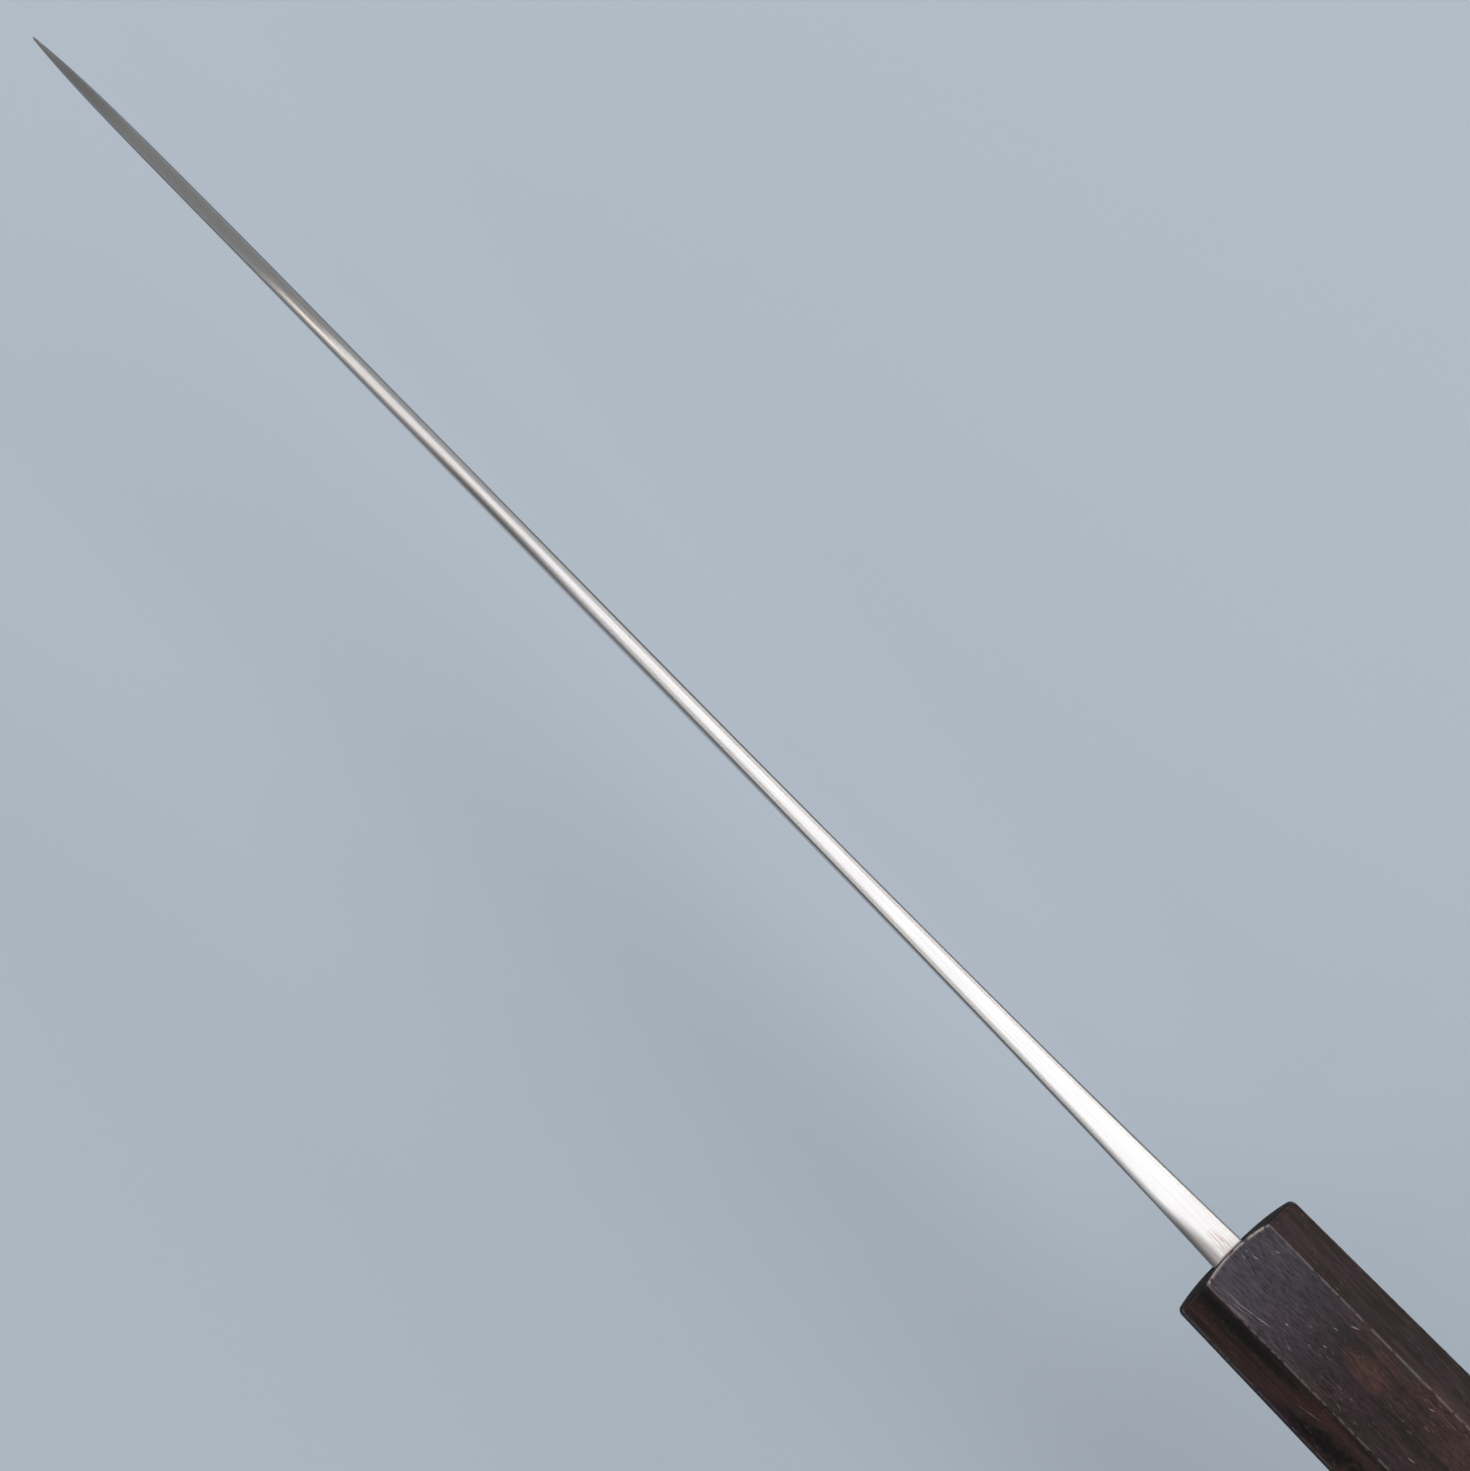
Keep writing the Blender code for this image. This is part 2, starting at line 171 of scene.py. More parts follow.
bladeLow, bladeHigh = nodeBox("blade")
blade = {
    "neckLength": 17.0,         # front of the handle to the heel corner
    "neckHeight": 16.0,
    "pointDrop": 11.0,          # the point lies this far under the line of the spine
    "pointDropRun": 70.0,
    "spineCurve": 2.2,
    "edgeCurve": 2.9,
    "choilRadius": 7.5,
    "heelLean": 1.8,
    "spineThickness": 2.38,
    "neckThickness": 5.9,
    "flareLength": 50.0,
    "pointFade": 9.5,
    "pointThickness": 0.3,
    "grindPower": 1.8,          # fullness of the convex faces
    "bevelHeight": 0.9,
    "bevelThickness": 0.3,
    "edgeThickness": 0.06,
    "edgeOffset": 0.5,          # ground for the right hand, so the edge lies to the left
    "spineRound": 1.1,          # radius of the spine's long edges
    "fullRound": 0.88,
    "neckRound": 0.9,
    "pointStub": 0.4,
    "lowShare": 0.3,
    "thinShare": 0.45,
    "bevelRunOut": 7.1,         # the bevel runs out over this height above the heel corner
    "neckInset": 3.4,
    "shoulderRun": 1.3,
    "tangLength": 95.0,
    "tangHeight": 11.0,
    "tangEndHeight": 6.0,
    "tangThickness": 4.4,
    "tangEndThickness": 2.6,
    "tangRound": 0.6,
    "set": 0.85,                # the blade stands this far left of the handle's middle
    "fan": 38.0,                # stations lean this far forward at the heel
    "fanStart": 0.65,
    "edgeStations": 240,
    "heelStations": 40,
    "choilStations": 48,
    "neckStations": 16,
    "shoulderStations": 10,
    "tangStations": 12,
    "edgeCrowding": 1.6,        # stations crowd towards the point by this power
    "roundPoints": 12,
    "facePoints": 26,
    "faceCrowding": 1.5,        # and points of a face towards the spine by this one
    "lowPoints": 5,             # down the bevel or round the corner
    "cornerStart": 0.72,        # painted shade begins here on the spine's rounding, as the cosine of its turn
    "cornerReach": 0.26,
}
heelX = blade["neckLength"]
pointX = bladeHigh[0]
edgeLength = pointX - heelX
spineTop = bladeHigh[2]
heelZ = bladeLow[2]
neckZ = spineTop - blade["neckHeight"]
tangZ = (spineTop + neckZ) / 2
shoulderX = -blade["neckInset"]
tangRootX = shoulderX - blade["shoulderRun"]
tangEndX = bladeLow[0]


def spineZ(x):
    # level, then down to the point by a power of the way along the last stretch
    run = np.clip((x - (pointX - blade["pointDropRun"])) / blade["pointDropRun"], 0.0, 1.0)
    return spineTop - blade["pointDrop"] * run ** blade["spineCurve"]


def edgeZ(x):
    # up from the heel corner to the point by a power of the way along the edge
    run = np.clip((x - heelX) / edgeLength, 0.0, 1.0)
    return heelZ + (spineTop - blade["pointDrop"] - heelZ) * run ** blade["edgeCurve"]


def spineThickness(x):
    # an even thickness and a flare that dies away exponentially from the handle, times a fade at the point
    flare = np.exp(-np.maximum(x, 0.0) / blade["flareLength"])
    flare = (blade["neckThickness"] - blade["spineThickness"]) * flare
    fade = 1.0 - np.exp(-np.maximum(pointX - x, 0.0) / blade["pointFade"])
    return blade["pointThickness"] + (blade["spineThickness"] + flare - blade["pointThickness"]) * fade


def bevelHeight(x):
    # the set height, or a share of the blade's own height where that is less
    return np.minimum(blade["bevelHeight"], blade["lowShare"] * (spineZ(x) - edgeZ(x)))


def tangShare(x):
    # 0 in the neck and 1 in the tang, with a soft step at the shoulder
    return smooth((shoulderX - x) / blade["shoulderRun"])


def alongTang(x):
    # 0 at the tang's root and 1 at its end
    return np.clip((tangRootX - x) / blade["tangLength"], 0.0, 1.0)


def bladeSides(x, z):
    # Half the thickness grows from the bevel's top to the spine as 1 - (1 - height)^power, which is a
    # convex face, and the middle of it slides left towards the edge. The tang has flat tapering sides.
    half = spineThickness(x) / 2
    behind = np.minimum(blade["bevelThickness"] / 2, blade["thinShare"] * half)
    bevel = bevelHeight(x)
    up = np.clip((z - edgeZ(x) - bevel) / (spineZ(x) - edgeZ(x) - bevel), 0.0, 1.0)
    grind = 1.0 - (1.0 - up) ** blade["grindPower"]
    ground = mix(behind, half, grind)
    offset = np.minimum(blade["edgeOffset"], blade["thinShare"] * half) * (1.0 - grind)
    tang = mix(blade["tangThickness"], blade["tangEndThickness"], alongTang(x)) / 2
    share = tangShare(x)
    left = mix(offset + ground, tang, share)
    right = mix(offset - ground, -tang, share)
    return blade["set"] + left, blade["set"] + right


def bladeRows(top, bottom, edgeShare, roundSize):
    # Each row is the closed outline on the line from a top place to a bottom place: two quarter rounds
    # with a flat between, two ground faces, then a straight bevel or eased corners at the bottom.
    edgeShare, roundSize = edgeShare[:, None], roundSize[:, None]
    topX, bottomX = top[:, :1], bottom[:, :1]
    length = np.linalg.norm(bottom - top, axis=1, keepdims=True)
    down = (bottom - top) / length
    rounding = np.minimum(blade["spineRound"], blade["fullRound"] * spineThickness(topX) / 2)
    rounding = np.minimum(mix(rounding, blade["tangRound"], tangShare(topX)), blade["lowShare"] * length)
    depth = np.minimum(mix(roundSize, bevelHeight(bottomX), edgeShare), blade["lowShare"] * length)
    shoulder = top + down * rounding
    foot = bottom - down * depth

    left, right = bladeSides(shoulder[:, :1], shoulder[:, 1:])
    middle, flat = (left + right) / 2, (left - right) / 2 - rounding
    quarter = np.linspace(0.0, np.pi / 2, blade["roundPoints"])
    turn = np.concatenate([quarter, quarter[::-1]])[None, :]
    side = np.repeat([1.0, -1.0], blade["roundPoints"])[None, :]
    roundX = shoulder[:, :1] - down[:, :1] * rounding * np.sin(turn)
    roundZ = shoulder[:, 1:] - down[:, 1:] * rounding * np.sin(turn)
    roundY = middle - side * (flat + rounding * np.cos(turn))

    t = np.linspace(0.0, 1.0, blade["facePoints"] + 2)[None, 1:] ** blade["faceCrowding"]
    faceX = mix(shoulder[:, :1], foot[:, :1], t)
    faceZ = mix(shoulder[:, 1:], foot[:, 1:], t)
    leftY, rightY = bladeSides(faceX, faceZ)

    left, right = bladeSides(foot[:, :1], foot[:, 1:])
    middle, half = (left + right) / 2, (left - right) / 2
    corner = np.minimum(roundSize, blade["thinShare"] * half)
    endHalf = mix(half - corner, half * blade["edgeThickness"] / blade["bevelThickness"], edgeShare)
    lower = np.linspace(0.0, 1.0, blade["lowPoints"] + 1)[None, 1:]
    easedOut = 1.0 - np.sqrt(1.0 - lower ** 2)
    lowY = mix(half - corner * easedOut, mix(half, endHalf, lower), edgeShare)
    lowX = foot[:, :1] + down[:, :1] * depth * lower
    lowZ = foot[:, 1:] + down[:, 1:] * depth * lower

    x = np.concatenate([roundX, faceX, lowX, lowX[:, ::-1], faceX[:, ::-1]], axis=1)
    y = np.concatenate([roundY, leftY, middle + lowY, (middle - lowY)[:, ::-1], rightY[:, ::-1]], axis=1)
    z = np.concatenate([roundZ, faceZ, lowZ, lowZ[:, ::-1], faceZ[:, ::-1]], axis=1)
    bevelMark, cornerMark, faceMark = np.zeros((3,) + x.shape)
    crown = 2 * blade["roundPoints"]
    low = crown + faceX.shape[1]
    bevelMark[:, low - 1:low + 2 * lowX.shape[1] + 1] = edgeShare
    cornerMark[:, :crown] = smooth((np.cos(turn) - blade["cornerStart"]) / blade["cornerReach"])
    faceMark[:, crown:] = 1.0 - bevelMark[:, crown:]
    return np.stack([x, y, z], axis=2), {
        "bevelMark": bevelMark, "cornerMark": cornerMark, "faceMark": faceMark}


def choilPath():
    # straight up the heel to where it touches the hollow's circle, then round the circle to the neck
    centerX = heelX + blade["heelLean"] - blade["choilRadius"]
    centerZ = neckZ - blade["choilRadius"]
    reach = np.hypot(heelX - centerX, heelZ - centerZ)
    start = np.arctan2(heelZ - centerZ, heelX - centerX) + np.arccos(blade["choilRadius"] / reach)
    angle = np.linspace(start, np.pi / 2, blade["choilStations"] + 1)
    circle = pairs(centerX + blade["choilRadius"] * np.cos(angle),
                   centerZ + blade["choilRadius"] * np.sin(angle))
    t = np.linspace(0.0, 1.0, blade["heelStations"] + 1)[1:, None]
    return np.vstack([mix(np.array([heelX, heelZ]), circle[0], t), circle[1:]])


def neckRow(x):
    # the neck's outline on an upright line at x
    rows, _ = bladeRows(np.array([[x, spineTop]]), np.array([[x, neckZ]]),
                        np.zeros(1), np.full(1, blade["neckRound"]))
    return rows[0]


def tangRow(x):
    # the same for the tang, whose height tapers evenly
    half = mix(blade["tangHeight"], blade["tangEndHeight"], alongTang(x)) / 2
    rows, _ = bladeRows(np.array([[x, tangZ + half]]), np.array([[x, tangZ - half]]),
                        np.zeros(1), np.full(1, blade["tangRound"]))
    return rows[0]


def makeBlade(material):
    # stations from the point along the edge, up the heel, round the hollow, over the neck and down the tang
    t = np.linspace(0.0, 1.0, blade["edgeStations"]) ** blade["edgeCrowding"]
    x = pointX - mix(blade["pointStub"], edgeLength, t)
    lean = blade["fan"] * smooth(1.0 - (x - heelX) / (blade["fanStart"] * edgeLength))
    tops = [pairs(x + lean, spineZ(x + lean))]
    bottoms = [pairs(x, edgeZ(x))]
    shares = [np.ones(len(x))]

    path = choilPath()
    topX = mix(heelX + blade["fan"], path[-1, 0], np.arange(1, len(path) + 1) / len(path))
    tops.append(pairs(topX, spineZ(topX)))
    bottoms.append(path)
    shares.append(np.clip(1.0 - (path[:, 1] - heelZ) / blade["bevelRunOut"], 0.0, 1.0))

    x = np.linspace(path[-1, 0], shoulderX, blade["neckStations"] + 1)[1:]
    tops.append(pairs(x, spineTop))
    bottoms.append(pairs(x, neckZ))
    t = np.linspace(0.0, 1.0, blade["shoulderStations"] + 1)[1:]
    x = mix(shoulderX, tangRootX, t)
    tops.append(pairs(x, mix(spineTop, tangZ + blade["tangHeight"] / 2, smooth(t))))
    bottoms.append(pairs(x, mix(neckZ, tangZ - blade["tangHeight"] / 2, smooth(t))))
    t = np.linspace(0.0, 1.0, blade["tangStations"] + 1)[1:]
    x = mix(tangRootX, tangEndX, t)
    half = mix(blade["tangHeight"], blade["tangEndHeight"], t) / 2
    tops.append(pairs(x, tangZ + half))
    bottoms.append(pairs(x, tangZ - half))

    top, bottom = np.vstack(tops), np.vstack(bottoms)
    pastShoulder = np.clip((shoulderX - bottom[:, 0]) / blade["shoulderRun"], 0.0, 1.0)
    roundSize = mix(blade["neckRound"], blade["tangRound"], pastShoulder)
    edgeShare = np.concatenate(shares + [np.zeros(len(top) - sum(map(len, shares)))])
    rows, marks = bladeRows(top, bottom, edgeShare, roundSize)
    # two more rows draw in to the tip itself
    tip = np.broadcast_to([pointX, blade["set"], spineZ(pointX)], (1,) + rows.shape[1:])
    rows = np.concatenate([mix(rows[:1], tip, 0.999), mix(rows[:1], tip, 0.5), rows])
    marks = {name: np.vstack([mark[:1], mark[:1], mark]) for name, mark in marks.items()}
    piece = gridSurface("satin_blade", rows, material, marks)
    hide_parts("blade")


# handle: one piece of wood with a blind slot

handleLow, _ = nodeBox("handle_body")
handle = {
    "frontWidth": 23.4,
    "frontHeight": 27.0,
    "frontChamfer": 5.3,
    "rearWidth": 28.0,
    "rearHeight": 30.6,
    "rearChamfer": 7.5,
    "pillowSide": 1.05,         # the front end curves back this far at its sides
    "pillowTop": 0.2,           # this far at its top and bottom
    "pillowCorner": 2.7,        # and towards its corners by a growing share of this as well
    "endRound": 0.6,
    "arrisRound": 0.35,
    "mouthMargin": 1.0,         # room round the neck at the mouth
    "mouthRound": 0.25,
    "slotMargin": 1.3,          # room round the tang behind it
    "slotEndSpace": 3.0,
    "arrisWear": 0.15,          # how far the wear of a long edge reaches
    "rimWear": 0.72,            # angle on the rounded rim where it is worn most, in radians
    "rimWearReach": 0.42,
    "endGrainStart": 0.8,       # angle on the rounded rim where end grain begins, in radians
    "endGrainReach": 0.5,
    "mouthFloor": 0.3,          # the mouth's floor lies this far behind the tang's root
    "roundPoints": 5,
    "flatPoints": 12,
    "sideRows": 90,
    "rimRows": 13,
    "endRows": 14,
    "buttRows": 8,
    "lipRows": 5,
    "slotRows": 8,
}
handleLength = -handleLow[0]
mouthFloorX = tangRootX - handle["mouthFloor"]


def octagonRing(end, inset=0.0):
    # A chamfered rectangle with rounded corners, moved inwards by the inset. Each corner is an arc of
    # 45 degrees and each flat has points that crowd towards its ends as (1 - cos) / 2.
    width, height, chamfer = (handle[end + size] for size in ("Width", "Height", "Chamfer"))
    inset = np.atleast_1d(np.asarray(inset, float))[:, None]
    y, z = width / 2 - inset, height / 2 - inset
    c = chamfer - inset * (2.0 - np.sqrt(2.0))
    cornerY = np.concatenate([y, y, y - c, c - y, -y, -y, c - y, y - c], axis=1)
    cornerZ = np.concatenate([c - z, z - c, z, z, z - c, c - z, -z, -z], axis=1)
    radius = handle["arrisRound"]
    bisector = np.radians(45.0 * np.arange(8) - 22.5)
    centerY = cornerY - radius / np.cos(np.pi / 8) * np.cos(bisector)
    centerZ = cornerZ - radius / np.cos(np.pi / 8) * np.sin(bisector)
    turn = bisector[:, None] + np.radians(np.linspace(-22.5, 22.5, handle["roundPoints"]))
    arcY = centerY[..., None] + radius * np.cos(turn)
    arcZ = centerZ[..., None] + radius * np.sin(turn)
    arcs = np.stack([arcY, arcZ], axis=-1)
    t = (1 - np.cos(np.pi * np.linspace(0, 1, handle["flatPoints"] + 2)[1:-1])) / 2
    flats = mix(arcs[:, :, -1:], np.roll(arcs[:, :, :1], -1, axis=1), t[:, None])
    return np.concatenate([arcs, flats], axis=2).reshape(len(inset), -1, 2)


def movedOut(outline, distance):
    # a closed outline moved outwards by a distance along its own normals
    ahead = np.roll(outline, -1, axis=0) - outline
    ahead /= np.maximum(np.linalg.norm(ahead, axis=1, keepdims=True), 1e-9)
    along = ahead + np.roll(ahead, 1, axis=0)
    along /= np.linalg.norm(along, axis=1, keepdims=True)
    outward = pairs(along[:, 1], -along[:, 0])
    if np.sum(outward * (outline - outline.mean(axis=0))) < 0:
        outward = -outward
    if np.ndim(distance):
        distance = np.reshape(distance, (-1, 1, 1))     # one outline for each distance
    return outline + outward * distance


def atAngles(outline, angle):
    # the places where a convex outline meets rays from the middle of the blade's neck
    own = np.arctan2(outline[:, 1] - tangZ, outline[:, 0] - blade["set"])
    order = np.argsort(own)
    own, places = own[order], outline[order]
    return pairs(*(np.interp(angle, own, places[:, k], period=2 * np.pi) for k in (0, 1)))


def pillow(flat):
    # the domed front: back by the cube of the way to the side, by the square of the way up, and at
    # the corners also by (side * rise^2)^2
    side = np.abs(flat[..., 0]) / (handle["frontWidth"] / 2)
    rise = np.abs(flat[..., 1]) / (handle["frontHeight"] / 2)
    return -handle["pillowSide"] * side ** 3 - handle["pillowTop"] * rise ** 2 \
        - handle["pillowCorner"] * (side * rise ** 2) ** 2


def makeHandle(material):
    # Rows run from the butt's middle over its rim, along the sides, over the front rim, across the
    # pillowed front to the mouth, and down the slot to its blind end.
    front = octagonRing("front")[0]
    rear = octagonRing("rear")[0]
    taper = (rear - front) / handleLength

    def row(x, flat):
        return np.concatenate([np.broadcast_to(x, flat.shape[:-1])[..., None], flat], axis=-1)

    turn = np.linspace(0.0, np.pi / 2, handle["rimRows"])
    inset = handle["endRound"] * (1 - np.cos(turn))
    back = handle["endRound"] * (1 - np.sin(turn))

    rearRim = octagonRing("rear", inset)
    rearX = (back - handleLength)[:, None]
    rearRim = rearRim - taper * (rearX + handleLength)[..., None]
    scale = np.linspace(0.04, 0.96, handle["buttRows"])[:, None, None]
    butt = row(-handleLength, rearRim[-1] * scale)
    rearRows = row(rearX, rearRim)[::-1]

    frontX = pillow(front) - handle["endRound"]
    t = (1 - np.cos(np.pi * np.linspace(0, 1, handle["sideRows"])[1:-1, None])) / 2
    sideX = mix(rearX[0], frontX, t)
    sides = row(sideX, front - taper * sideX[..., None])

    frontRim = octagonRing("front", inset)
    frontRim = frontRim - taper * frontX[:, None]
    frontRows = row(pillow(frontRim) - back[:, None], frontRim)

    neck = neckRow(shoulderX)[:, 1:]
    angle = np.arctan2(frontRim[-1, :, 1] - tangZ, frontRim[-1, :, 0] - blade["set"])
    mouth = atAngles(movedOut(neck, handle["mouthMargin"]), angle)
    lip = handle["mouthRound"]
    mouthTurn = np.linspace(0.0, np.pi / 2, handle["lipRows"])
    mouthRim = np.stack([atAngles(movedOut(neck, handle["mouthMargin"] + lip * (1 - np.sin(a))), angle)
                         for a in mouthTurn])
    t = np.linspace(0.0, 1.0, handle["endRows"])[1:-1, None, None]
    across = mix(frontRim[-1], mouthRim[0], t)
    face = row(pillow(across), across)
    lips = row(pillow(mouthRim) - lip * (1 - np.cos(mouthTurn))[:, None], mouthRim)
    wallX = np.array([0.5, 1.0])[:, None] * mouthFloorX
    wall = row(wallX, np.broadcast_to(mouth, (2,) + mouth.shape))

    slotStart = atAngles(movedOut(tangRow(tangRootX)[:, 1:], handle["slotMargin"]), angle)
    slotEnd = atAngles(movedOut(tangRow(tangEndX)[:, 1:], handle["slotMargin"]), angle)
    t = np.linspace(0.0, 1.0, handle["slotRows"])[:, None]
    slotX = mix(mouthFloorX, tangEndX - handle["slotEndSpace"], t)
    slot = row(slotX, mix(slotStart, slotEnd, t[..., None]))
    rows = np.concatenate([butt, rearRows, sides, frontRows, face, lips, wall, slot])

    # wear: a bell curve over the distance from each long edge and from each rim
    ringStep = np.linalg.norm(np.roll(front, -1, axis=0) - front, axis=1)
    place = np.concatenate([[0.0], np.cumsum(ringStep)[:-1]])
    arrisAt = place[handle["roundPoints"] // 2::handle["roundPoints"] + handle["flatPoints"]]
    gap = np.abs(place[:, None] - arrisAt[None, :])
    distance = np.minimum(gap, ringStep.sum() - gap).min(axis=1)
    arris = np.zeros(rows.shape[:2])
    first, last = len(butt), len(butt) + len(rearRows) + len(sides) + len(frontRows)
    arris[first:last] = np.exp(-(distance / handle["arrisWear"]) ** 2)
    # the four flats are handled more than the chamfers between them
    weight = np.repeat(np.tile([1.0, 0.0], 4), handle["flatPoints"]).reshape(8, -1)
    corner = np.repeat(0.5, 8 * handle["roundPoints"]).reshape(8, -1)
    flat = np.concatenate([corner, weight], axis=1).ravel()
    rim = np.zeros(rows.shape[:2])
    sideStart = first + len(rearRows)
    worn = np.exp(-((turn - handle["rimWear"]) / handle["rimWearReach"]) ** 2)[:, None]
    rim[first:sideStart] = worn[::-1]
    rim[sideStart + len(sides):last] = worn
    # end grain: both ends as far as the middle of their rims, and the walls of mouth and slot
    end = np.ones(rows.shape[:2])
    end[sideStart:sideStart + len(sides)] = 0.0
    endGrain = smooth((turn - handle["endGrainStart"]) / handle["endGrainReach"])[:, None]
    end[first:sideStart] = endGrain[::-1]
    end[sideStart + len(sides):last] = endGrain
    # the two side flats, where fingers close, are the only places so far out
    grip = (np.abs(front[:, 0]) > handle["frontWidth"] / 2 - 0.1).astype(float)
    marks = {"arrisWear": arris, "rimWear": rim * flat * (1 - grip), "endMark": end,
             "flatMark": flat, "gripMark": grip}
    piece = gridSurface("oiled_handle", rows, material, marks)
    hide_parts("handle_body")


# sealing compound round the neck, all but flush with the wood

seal = {
    "gap": 0.03,                # the compound all but touches steel and wood
    "recess": 0.2,
    "hollow": 0.15,             # its face sinks this far between the walls
    "depth": 0.3,               # it starts this far in front of the tang's shoulder
    "squareness": 0.5,          # 1 makes the ring's section round, and less makes it squarer
    "uneven": 0.05,             # height of its waves, two sines of these paces round the neck
    "paces": (1.9, 0.7),
    "around": 180,
    "section": 28,
}


def makeSeal(material):
    # a squarish ring, superellipse of power 4, whose front is hollowed as 1 - across^2 and gently uneven
    neck = neckRow(shoulderX)[:, 1:]
    step = np.linalg.norm(np.roll(neck, -1, axis=0) - neck, axis=1)
    length = np.concatenate([[0.0], np.cumsum(step)])
    even = np.linspace(0.0, length[-1], seal["around"], endpoint=False)
    closed = np.vstack([neck, neck[:1]])
    outline = pairs(*(np.interp(even, length, closed[:, k]) for k in (0, 1)))
    turn = np.linspace(0.0, 2 * np.pi, seal["section"] + 1)
    across = np.sign(np.cos(turn)) * np.abs(np.cos(turn)) ** seal["squareness"]
    ahead = np.sign(np.sin(turn)) * np.abs(np.sin(turn)) ** seal["squareness"]
    half = (handle["mouthMargin"] - 2 * seal["gap"]) / 2
    out = seal["gap"] + half * (1 + across)
    flat = movedOut(outline, out)
    quick, slow = seal["paces"]
    uneven = seal["uneven"] * np.sin(even * quick) * np.sin(even * slow + 1.0)
    front = pillow(flat) - seal["recess"] + uneven - seal["hollow"] * (1 - across ** 2)[:, None]
    x = mix(shoulderX + seal["depth"], front, (1 + ahead[:, None]) / 2)
    rows = np.concatenate([x[..., None], flat], axis=-1)
    rows[-1] = rows[0]
    piece = gridSurface("seal_ring", rows, material)
    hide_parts("neck_seal")


# materials

def satinSteel():
    # Carbon steel, ground and polished lengthwise on fine belts: a warm grey metal whose scratches run
    # along the blade, so that it mirrors sharply along its length and softly across.
    look = {
        "color": "d2d0ce",
        "dark": "a9a5a0",
        "tarnish": "9a8272",
        "paintedShade": "463f3a",
        "roughness": 0.255,
        "roughnessSwing": 0.015,
        "bevelRoughness": 0.16,
        "scratchShade": 0.3,
        "scratchDepth": 0.006,
        "beltShade": 0.45,
        "cloudSize": 9.0,
        "cornerShade": 0.85,
    }
    patterns = {                    # mm along the blade, mm across, detail, gain of the finer octaves
        "scratch": (16.0, 0.15, 2.0, 0.5),      # real scratches are finer, and would not show
        "belt": (42.0, 0.9, 4.0, 0.6),
        "wipe": (3.0, 0.25, 3.0, 0.5),
    }
    paintedDarkReflections = {                      # painted dark reflections on the spine's left rounding: middle, half sizes, strength
        "beside the wood": ((0.0, 3.4, spineTop), (18.0, 2.6, 5.0), 0.7),
        "halfway along": ((156.0, 2.3, spineTop), (32.0, 1.6, 2.0), 0.62),
    }
    # painted shade along the blade, including a painted shadow line in the mouth
    paintedShadeAlong = {                      # from, to, strength
        "before the wood": (22.0, 0.0, 0.09),
        "beside the wood": (3.5, -0.6, 0.28),
        "in the mouth": (0.4, -0.1, 0.7),
        "point": (232.0, 248.0, 0.3),
    }
    tarnished = ((1.2, 0.5, spineTop), (3.6, 1.5, 4.0))     # middle and half sizes
    material, tree = newMaterial("satin_ground_carbon_steel")
    place = addNode(tree, "TexCoord", out="Object")
    marks = {name: addNode(tree, "Attribute", {"attribute_name": name}, out="Fac")
             for name in ("bevelMark", "cornerMark", "faceMark")}
    noise = {}
    for name, (length, width, detail, gain) in patterns.items():
        stretched = addNode(tree, "Mapping", {}, {
            "Vector": place, "Scale": (1 / (length * mm), 1 / (width * mm), 1 / (width * mm))})
        noise[name] = addNode(tree, "TexNoise", {}, {
            "Vector": stretched, "Scale": 1.0, "Detail": detail, "Roughness": gain})
    cloud = addNode(tree, "TexNoise", {}, {
        "Vector": place, "Scale": 1 / (look["cloudSize"] * mm), "Detail": 3.0})

    shade = addNode(tree, "MapRange", {}, {
        "Value": noise["scratch"], **noiseRange, "To Max": look["scratchShade"]})
    color = addNode(tree, "Mix", asColor,
                    {0: shade, 6: hexColor(look["color"]), 7: hexColor(look["dark"])}, out=2)
    # marks of the coarser belt stay on the faces, which are polished less than the spine
    belt = addNode(tree, "MapRange", asSoftStep, {
        "Value": noise["belt"], "From Min": 0.34, "From Max": 0.66, "To Max": look["beltShade"]})
    belt = addNode(tree, "Math", asProduct, {0: belt, 1: marks["faceMark"]})
    color = addNode(tree, "Mix", asColor, {0: belt, 6: color, 7: hexColor(look["dark"])}, out=2)
    # a painted dark reflection along the rounded corners between spine and faces
    paintedShade = addNode(tree, "Math", asProduct, {0: marks["cornerMark"], 1: look["cornerShade"]})
    # and painted dark reflections on the spine's left rounding, strongest at the middle of each place
    for middle, half, most in paintedDarkReflections.values():
        around = addNode(tree, "Mapping", asPlaced, {
            "Vector": place, "Location": Vector(middle) * mm, "Scale": Vector(half) * mm})
        near = addNode(tree, "TexGradient", asSphere, {"Vector": around}, out="Fac")
        left = addNode(tree, "MapRange", asSoftStep, {
            "Value": near, "From Min": 0.12, "From Max": 0.65, "To Max": most})
        paintedShade = addNode(tree, "Math", asLarger, {0: paintedShade, 1: left})
    # painted shade: darker all over just before the wood, where the dark handle is mirrored, a painted
    # shadow line in the mouth, and a darker point
    along = addNode(tree, "SeparateXYZ", {}, {0: place}, out="X")
    for start, end, most in paintedShadeAlong.values():
        shadeBand = addNode(tree, "MapRange", asSoftStep, {
            "Value": along, "From Min": start * mm, "From Max": end * mm, "To Max": most})
        paintedShade = addNode(tree, "Math", asLarger, {0: paintedShade, 1: shadeBand})
    # all the painted shade and painted dark reflections on the steel are mixed in here
    color = addNode(tree, "Mix", asColor, {0: paintedShade, 6: color, 7: hexColor(look["paintedShade"])}, out=2)
    # a faint brown tarnish, wiped into streaks, where the blade meets the wood
    spot = addNode(tree, "Mapping", asPlaced, {
        "Vector": place, "Location": Vector(tarnished[0]) * mm, "Scale": Vector(tarnished[1]) * mm})
    near = addNode(tree, "TexGradient", asSphere, {"Vector": spot}, out="Fac")
    streak = addNode(tree, "MapRange", asSoftStep, {
        "Value": noise["wipe"], "From Min": 0.35, "From Max": 0.65, "To Max": 1.1})
    streak = addNode(tree, "Math", asProduct, {0: near, 1: streak})
    color = addNode(tree, "Mix", asColor, {0: streak, 6: color, 7: hexColor(look["tarnish"])}, out=2)

